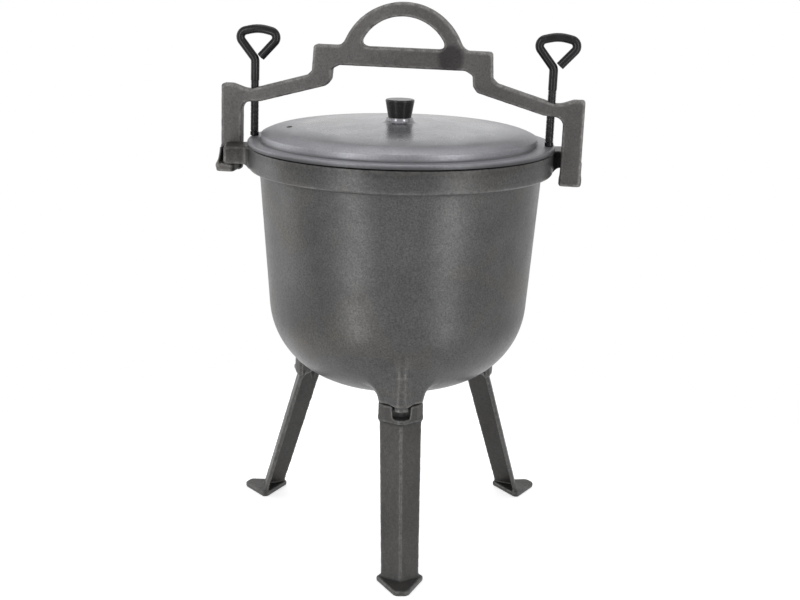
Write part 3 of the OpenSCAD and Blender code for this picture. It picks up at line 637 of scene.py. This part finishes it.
def make_lid():
    profile = lid_profile()
    points, faces = lathe(spaced(profile + profile[:1], 4.0)[:-1], 216, closed=True)
    reach, up = np.hypot(points[:, 0], points[:, 1]), points[:, 2] - RIM
    domed = np.clip((DOME_R + 6 - reach) / 5, 0, 1) * np.clip((up - 1) / 3.5, 0, 1)
    points[:, 0] -= domed * DOME_ASIDE
    mesh = bpy.data.meshes.new("steam hole cutter")
    drill, drill_faces = lathe([(0, RIM), (HOLE_R, RIM), (HOLE_R + 0.1, RIM + DOME_H + 5), (0, RIM + DOME_H + 5)], 24)
    drill += np.array([HOLE_REACH * math.cos(HOLE_TURN), HOLE_REACH * math.sin(HOLE_TURN), 0])
    mesh.from_pydata((drill / 1000).tolist(), [], drill_faces)
    cutter = bpy.data.objects.new("steam hole cutter", mesh)
    blank = bpy.data.objects.new("lid blank", bpy.data.meshes.new("lid blank"))
    blank.data.from_pydata((points / 1000).tolist(), [], faces)
    for each in (cutter, blank):
        bpy.context.scene.collection.objects.link(each)
    boolean = blank.modifiers.new("steam hole", "BOOLEAN")
    boolean.object = cutter
    boolean.solver = "EXACT"
    cut = bpy.data.meshes.new_from_object(blank.evaluated_get(bpy.context.evaluated_depsgraph_get()))
    points = np.array([v.co for v in cut.vertices]) * 1000
    faces = [list(p.vertices) for p in cut.polygons]
    for each in (cutter, blank):
        bpy.data.objects.remove(each)
    piece("lid_casting", "lid", "lid_iron", LID_IRON_PAINTED_SHEEN, points, faces, node="lid", sharp=40)


def make_knob():
    foot, top = RIM + KNOB_UP, RIM + KNOB_UP + KNOB_H
    side = rounded([(3.05, foot), (KNOB_FOOT_R, foot), (KNOB_TOP_R, top), (0, top - 0.25)],
                   [0, 0.7, 1.3, 0], closed=False, step=12)
    bore = [(0, foot + 12), (3.05, foot + 12)]
    points, faces = lathe(spaced(bore + side, 2.5), 72)
    points[:, 0] -= DOME_ASIDE
    piece("lid_knob", "lid", "knob_black", KNOB_BLACK, points, faces, node="knob", sharp=50)


# The bow with its carrying handle and hooked feet, made upright and then set as it stands on the pot

BOW_STANDS = (Matrix.Rotation(BOW_TURN, 4, "Z") @ Matrix.Translation((0, 0, RIM + LEAN_UP))
              @ Matrix.Rotation(BOW_LEAN, 4, "Y") @ Matrix.Translation((0, 0, -RIM - LEAN_UP)))


def bow_outline():
    """Right half of the bow below its handle, across and up from the rim."""
    arm_low = 61.7 - 13.9 - 43 * 0.285
    return rounded(
        [(-6, 73.2), (58, 73.2), (64.6, 68.2), (65.4, 58.7), (69.5, 53), (131, arm_low), (BOW_INNER, arm_low - 1.5),
         (BOW_INNER, -28.5), (BOW_REACH, -28.5), (BOW_REACH, 50.5), (158, 50.5), (143.5, 45.6), (88, 61.7),
         (83.4, 66.2), (82, 90), (47, 90), (47, 87), (-6, 87)],
        [0, 3, 2, 3, 6, 0, 8, 2.2, 2.2, 2.2, 9, 18, 5, 0, 3, 0, 0, 0])


def bow():
    step = 0.85
    axes = grid((-170.5, -30, -30.5), (170.5, 30, 132.5), step)
    x, y, z = axes
    flat = outline_field(bow_outline(), np.abs(x[:, :, 0]), z[0, :, :])
    flat_x, flat_z = x[:, :, 0], z[0, :, :]
    arch = np.hypot(flat_x, flat_z - 73.6) - 57.5
    arch = np.maximum(arch, 75 - flat_z)
    flat = join(flat, arch, 7)
    hole = np.maximum(np.hypot(flat_x, flat_z - 75.4) - 43, 90 - flat_z)
    hole = meet(np.hypot(flat_x, flat_z - 75.4) - 43, 90 - flat_z, 9)
    flat = np.maximum(flat, -hole)
    plate = slab(flat[:, None, :], y, BOW_HALF - 0.05, 1.7)
    side = np.sign(x)
    out, ahead = np.abs(x), y * side
    foot_plan = rounded([(BOW_INNER + 0.5, 0), (BOW_REACH, 0), (BOW_REACH, 28), (BOW_INNER + 2, 28)],
                        [0, 0, 4, 4])
    foot = slab(outline_field(foot_plan, out[:, :, 0], ahead[:, :, 0])[:, :, None], z + 24.75, 3.7, 1.5)
    gusset = np.maximum(np.maximum(out - BOW_REACH + 0.1, BOW_REACH - GUSSET_T - out), -z - 24)
    sweep = 20 - np.hypot(ahead - 32, z + 2)
    gusset = meet(np.maximum(gusset, np.maximum(-ahead, z + 8)), np.maximum(sweep, ahead - 27), 1.2)
    whole = join(join(plate, foot, 4), gusset, 2.5)
    whole = whole + unevenness(x, y, z, 14, 0.16, 2.0)
    bore = SCREW_R + 0.1 - np.hypot(out - SCREW_REACH, y)
    whole = np.maximum(whole, np.minimum(bore, 90 - z))
    points, faces = skin(whole, axes, step)
    points[:, 2] += RIM
    return turned_over(points, BOW_STANDS), faces


# The legs: angle sections with a socket that is pushed over the pot's peg, and a foot plate

def leg():
    step = 0.7
    axes = grid((90, -22.4, -1), (174, 22.4, 155.5), step)
    x, y, z = axes
    low = SOCKET_TOP - SOCKET_H
    across = np.sqrt(y * y + 1.0) - 1.0
    ridge = RIDGE_FOOT + (RIDGE_TOP - RIDGE_FOOT) * z / low
    depth = ridge - x
    steep = math.sqrt(1 + RIDGE_SHARE ** 2)
    outer = (RIDGE_SHARE * across - depth) / steep
    inner = (depth - RIDGE_SHARE * across) / steep - LEG_T * 0.95
    half = 16.7 + (18.9 - 16.7) * z / low
    flanges = meet(meet(outer, inner, 1.2), np.abs(y) - half, 1.6)
    flanges = np.maximum(flanges, np.maximum(z - low - 2, SOLE_T - 1 - z))
    flanges = flanges + unevenness(x, y, z, 13, 0.22, 3.0)
    socket = slab(outline_field(rounded(
        [(92.6, -20.2), (97, -20.2), (104.5, -14.5), (SOCKET_NOSE, -2.5), (SOCKET_NOSE, 2.5), (104.5, 14.5),
         (97, 20.2), (92.6, 20.2)], [1.5, 1.5, 3, 2, 2, 3, 1.5, 1.5]), x, y), z - low - SOCKET_H / 2,
        SOCKET_H / 2 - 0.05, 1.1)
    rim_near = np.exp(-((z - SOCKET_TOP) / 3.0) ** 2)
    socket = socket + unevenness(x, y, z, 10, 0.2, 4.0) + (0.12 + unevenness(x, y, z, 3.4, 0.3, 5.0)) * rim_near
    metal = join(flanges, socket, 3.5)
    peg = slab(outline_field([(96.1, -15.2), (101.8, -12.7), (101.8, 12.7), (96.1, 15.2)], x, y), z - low, 40, 0.1)
    hollow = np.maximum(outline_field(
        [(100.6, -12.5), (102.5, -12), (109.4, -1.5), (109.4, 1.5), (102.5, 12), (100.6, 12.5)], x, y), low + 4.5 - z)
    window = np.maximum(outline_field(rounded(
        [(-7.6, SOCKET_TOP - 11.5), (7.6, SOCKET_TOP - 11.5), (8.8, 158), (-8.8, 158)], [2, 2, 0, 0]), y, z), 100.6 - x)
    window = window + unevenness(x, y, z, 3.0, 0.25, 6.0)
    metal = meet(metal, -window, 1.2)
    metal = np.maximum(metal, np.maximum(-peg, -hollow))
    sole = slab(outline_field(rounded(
        [(136, -18), (139.6, -21.4), (172, -6), (172, 6), (139.6, 21.4), (136, 18)],
        [1.5, 2.5, 6, 6, 2.5, 1.5]), x, y), z - SOLE_T / 2, SOLE_T / 2, 1.3)
    whole = join(metal, sole + unevenness(x, y, z, 12, 0.12, 7.0), 2.5)
    whole = np.maximum(whole, 0.02 - z)
    return skin(whole, axes, step)


def make_legs():
    shape = leg()
    for name, turn in LEG_TURNS.items():
        piece(name + "_casting", name, "leg_iron", LEG_IRON, *place_round(shape, math.radians(turn)), node=name)


# The clamp screws: bent rods with a rolled thread, made by a tree of nodes that follows their path

def screw_path():
    """The rod's middle line, across and up from where it leaves the straight shaft."""
    corners = [(0, -64.85), (0, 1), (-18.4, 24.2), (3, 29.6), (24.8, 24.6), (5.3, 3.2)]
    return rounded(corners, [0, 7, 6, 34, 6, 0], closed=False, step=6)


def rod_tree():
    tree = bpy.data.node_groups.new("threaded rod", "GeometryNodeTree")
    tree.interface.new_socket("Path", in_out="INPUT", socket_type="NodeSocketGeometry")
    for name, value in (("Rod Radius", 0.004), ("Core Radius", 0.0034), ("Pitch", 0.00125), ("Thread Length", 0.04),
                        ("Thread Foot", 0.38)):
        tree.interface.new_socket(name, in_out="INPUT", socket_type="NodeSocketFloat").default_value = value
    tree.interface.new_socket("Threaded", in_out="INPUT", socket_type="NodeSocketBool")
    tree.interface.new_socket("Finish", in_out="INPUT", socket_type="NodeSocketMaterial")
    tree.interface.new_socket("Rod", in_out="OUTPUT", socket_type="NodeSocketGeometry")
    new, link = tree.nodes.new, tree.links.new
    given, result = new("NodeGroupInput"), new("NodeGroupOutput")

    def circle(resolution, radius):
        node = new("GeometryNodeCurvePrimitiveCircle")
        node.inputs["Resolution"].default_value = resolution
        if isinstance(radius, float):
            node.inputs["Radius"].default_value = radius
        else:
            link(radius, node.inputs["Radius"])
        return node.outputs["Curve"]

    def swept(curve, profile):
        node = new("GeometryNodeCurveToMesh")
        node.inputs["Fill Caps"].default_value = True
        link(curve, node.inputs["Curve"])
        link(profile, node.inputs["Profile Curve"])
        return node.outputs["Mesh"]

    def sum_of(kind, a, b):
        node = new("ShaderNodeMath")
        node.operation = kind
        for socket, value in zip(node.inputs, (a, b)):
            if isinstance(value, float):
                socket.default_value = value
            else:
                link(value, socket)
        return node.outputs[0]

    smooth = swept(given.outputs["Path"], circle(28, given.outputs["Rod Radius"]))
    core = swept(given.outputs["Path"], circle(28, given.outputs["Core Radius"]))
    turns = sum_of("DIVIDE", given.outputs["Thread Length"], given.outputs["Pitch"])
    spiral = new("GeometryNodeCurveSpiral")
    spiral.inputs["Resolution"].default_value = 20
    link(turns, spiral.inputs["Rotations"])
    middle = sum_of("MULTIPLY", sum_of("ADD", given.outputs["Rod Radius"], given.outputs["Core Radius"]), 0.5)
    for name in ("Start Radius", "End Radius"):
        link(middle, spiral.inputs[name])
    link(given.outputs["Thread Length"], spiral.inputs["Height"])
    ridge = sum_of("MULTIPLY", sum_of("SUBTRACT", given.outputs["Rod Radius"], given.outputs["Core Radius"]), 0.5)
    lift = new("ShaderNodeCombineXYZ")
    link(given.outputs["Thread Foot"], lift.inputs["Z"])
    raised = new("GeometryNodeTransform")
    link(swept(spiral.outputs["Curve"], circle(4, ridge)), raised.inputs["Geometry"])
    link(lift.outputs["Vector"], raised.inputs["Translation"])
    both = new("GeometryNodeJoinGeometry")
    link(core, both.inputs["Geometry"])
    link(raised.outputs["Geometry"], both.inputs["Geometry"])
    chosen = new("GeometryNodeSwitch")
    chosen.input_type = "GEOMETRY"
    link(given.outputs["Threaded"], chosen.inputs["Switch"])
    link(smooth, chosen.inputs["False"])
    link(both.outputs["Geometry"], chosen.inputs["True"])
    real = new("GeometryNodeRealizeInstances")
    link(chosen.outputs["Output"], real.inputs["Geometry"])
    finish = new("GeometryNodeSetMaterial")
    link(real.outputs["Geometry"], finish.inputs["Geometry"])
    link(given.outputs["Finish"], finish.inputs["Material"])
    link(finish.outputs["Geometry"], result.inputs["Rod"])
    return tree


def rod_from(tree, path, values):
    """The points and faces that the tree makes from a path in metres."""
    curve = bpy.data.curves.new("rod path", "CURVE")
    curve.dimensions = "3D"
    line = curve.splines.new("POLY")
    line.points.add(len(path) - 1)
    for point, place in zip(line.points, path):
        point.co = (*place, 1.0)
    bench = bpy.data.objects.new("rod path", curve)
    bpy.context.scene.collection.objects.link(bench)
    modifier = bench.modifiers.new("rod", "NODES")
    modifier.node_group = tree
    for item in tree.interface.items_tree:
        if item.name in values:
            modifier[item.identifier] = values[item.name]
    mesh = bpy.data.meshes.new_from_object(bench.evaluated_get(bpy.context.evaluated_depsgraph_get()))
    points = np.array([v.co for v in mesh.vertices]) * 1000
    faces = [list(p.vertices) for p in mesh.polygons]
    bpy.data.objects.remove(bench)
    return points, faces


def make_screws():
    foot, thread = SCREW_FOOT / 1000, 0.0478
    path = [(x / 1000, 0.0, (z + RIM + LEAN_UP) / 1000) for x, z in screw_path()]
    tree = rod_tree()
    threaded = rod_from(tree, [(0.0, 0.0, foot), (0.0, 0.0, foot + thread)],
                        {"Threaded": True, "Thread Foot": foot + 0.0005, "Thread Length": thread - 0.0005,
                         "Finish": SCREW_BLACK})
    smooth = rod_from(tree, [(0.0, 0.0, foot + thread - 0.0003)] + path[1:], {"Finish": SCREW_BLACK})
    for side, name in ((-1, "left"), (1, "right")):
        shift = side * SCREW_REACH * math.tan(BOW_LEAN) - (RIM + LEAN_UP - TIP) * (1 / math.cos(BOW_LEAN) - 1)
        stands = BOW_STANDS @ Matrix.Translation((side * SCREW_REACH, 0, shift))
        points, faces = gather([threaded, smooth])
        piece(name + "_loop_screw", name + "_screw", "black_steel", SCREW_BLACK, turned_over(points, stands), faces,
              node=name + "_clamp_screw", sharp=50)


# Floor, backdrop and light

FLOOR_R = 0.55

def only_seen(tree, seen, lit, output):
    """Mixes two shaders: one for the camera and for reflections, the other for light."""
    path = tree.nodes.new("ShaderNodeLightPath")
    mix = tree.nodes.new("ShaderNodeMixShader")
    looks = path.outputs["Is Camera Ray"]
    for name in ("Is Glossy Ray", "Is Transmission Ray"):
        either = tree.nodes.new("ShaderNodeMath")
        either.operation = "MAXIMUM"
        tree.links.new(looks, either.inputs[0])
        tree.links.new(path.outputs[name], either.inputs[1])
        looks = either.outputs[0]
    tree.links.new(looks, mix.inputs["Fac"])
    tree.links.new(lit, mix.inputs[1])
    tree.links.new(seen, mix.inputs[2])
    tree.links.new(mix.outputs["Shader"], output.inputs["Surface"])


def fade_out(tree, output):
    """Lets the floor's edge dissolve into the surroundings."""
    place = tree.nodes.new("ShaderNodeTexCoord").outputs["Object"]
    far = tree.nodes.new("ShaderNodeVectorMath")
    far.operation = "LENGTH"
    tree.links.new(place, far.inputs[0])
    fade = tree.nodes.new("ShaderNodeMapRange")
    fade.interpolation_type = "SMOOTHSTEP"
    for name, value in (("From Min", 0.62 * FLOOR_R), ("From Max", FLOOR_R)):
        fade.inputs[name].default_value = value
    tree.links.new(far.outputs["Value"], fade.inputs["Value"])
    mix = tree.nodes.new("ShaderNodeMixShader")
    tree.links.new(fade.outputs["Result"], mix.inputs["Fac"])
    tree.links.new(output.inputs["Surface"].links[0].from_socket, mix.inputs[1])
    tree.links.new(tree.nodes.new("ShaderNodeBsdfTransparent").outputs["BSDF"], mix.inputs[2])
    tree.links.new(mix.outputs["Shader"], output.inputs["Surface"])


def make_stage():
    """A white studio: a floor that fades into the white of the surroundings, and keeps the shadow."""
    material = bpy.data.materials.new("studio floor")
    material.use_nodes = True
    tree = material.node_tree
    tree.nodes.clear()
    output = tree.nodes.new("ShaderNodeOutputMaterial")
    paint = tree.nodes.new("ShaderNodeBsdfDiffuse")
    paint.inputs["Color"].default_value = (0.8, 0.8, 0.8, 1.0)
    glow = tree.nodes.new("ShaderNodeEmission")
    glow.inputs["Strength"].default_value = 0.62
    both = tree.nodes.new("ShaderNodeAddShader")
    tree.links.new(paint.outputs["BSDF"], both.inputs[0])
    tree.links.new(glow.outputs["Emission"], both.inputs[1])
    only_seen(tree, both.outputs["Shader"], paint.outputs["BSDF"], output)
    fade_out(tree, output)
    mesh = bpy.data.meshes.new("floor")
    mesh.from_pydata([(FLOOR_R * math.cos(a), FLOOR_R * math.sin(a), 0)
                      for a in np.linspace(0, 2 * math.pi, 96, endpoint=False)], [], [list(range(96))])
    mesh.materials.append(material)
    floor = bpy.data.objects.new("floor", mesh)
    bpy.context.scene.collection.objects.link(floor)

    world = bpy.data.worlds.new("studio")
    bpy.context.scene.world = world
    world.use_nodes = True
    tree = world.node_tree
    tree.nodes.clear()
    output = tree.nodes.new("ShaderNodeOutputWorld")
    soft, white = (tree.nodes.new("ShaderNodeBackground") for _ in range(2))
    toward = tree.nodes.new("ShaderNodeSeparateXYZ")
    tree.links.new(tree.nodes.new("ShaderNodeTexCoord").outputs["Generated"], toward.inputs["Vector"])
    fall = tree.nodes.new("ShaderNodeMapRange")
    fall.interpolation_type = "SMOOTHSTEP"
    for name, value in (("From Min", 0.1), ("From Max", 0.8), ("To Min", 0.34), ("To Max", 1.35)):
        fall.inputs[name].default_value = value
    tree.links.new(toward.outputs["Y"], fall.inputs["Value"])
    tree.links.new(fall.outputs["Result"], soft.inputs["Strength"])
    white.inputs["Strength"].default_value = 1.0
    for each in (soft, white):
        each.inputs["Color"].default_value = (1.0, 1.0, 1.0, 1.0)
    only_seen(tree, white.outputs["Background"], soft.outputs["Background"], output)


def area_lamp(name, place, aim, size, power):
    data = bpy.data.lights.new(name, "AREA")
    data.shape = "RECTANGLE"
    data.size, data.size_y = size
    data.energy = power
    lamp = bpy.data.objects.new(name, data)
    bpy.context.scene.collection.objects.link(lamp)
    place, aim = Vector(place), Vector(aim)
    lamp.matrix_world = Matrix.Translation(place) @ (aim - place).to_track_quat("-Z", "Y").to_matrix().to_4x4()


def give(node, material):
    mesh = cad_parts[node].data
    mesh.materials.clear()
    mesh.materials.append(material)


make_camera()
make_stage()
make_pot()
make_lid()
make_knob()
piece("clamp_bow", "bow", "bow_iron", BOW_IRON, *bow(), node="bow")
make_legs()
make_screws()
for node in ("knob_screw", "knob_screw_washer", "left_screw_tip", "right_screw_tip"):
    give(node, SCREW_BLACK)
area_lamp("top softbox", (0.0, 0.3, 1.9), (0.0, 0.0, 0.35), (1.2, 1.2), 6.0)
area_lamp("left softbox", (-1.07, -1.32, 0.3), (0.0, 0.0, 0.25), (0.35, 2.4), 16.0)
area_lamp("right softbox", (1.05, -1.34, 0.3), (0.0, 0.0, 0.25), (0.35, 2.4), 14.5)
area_lamp("side softbox", (-1.7, 0.5, 0.5), (0.0, 0.0, 0.3), (0.8, 1.6), 6.0)

bpy.context.scene.view_settings.view_transform = "Standard"
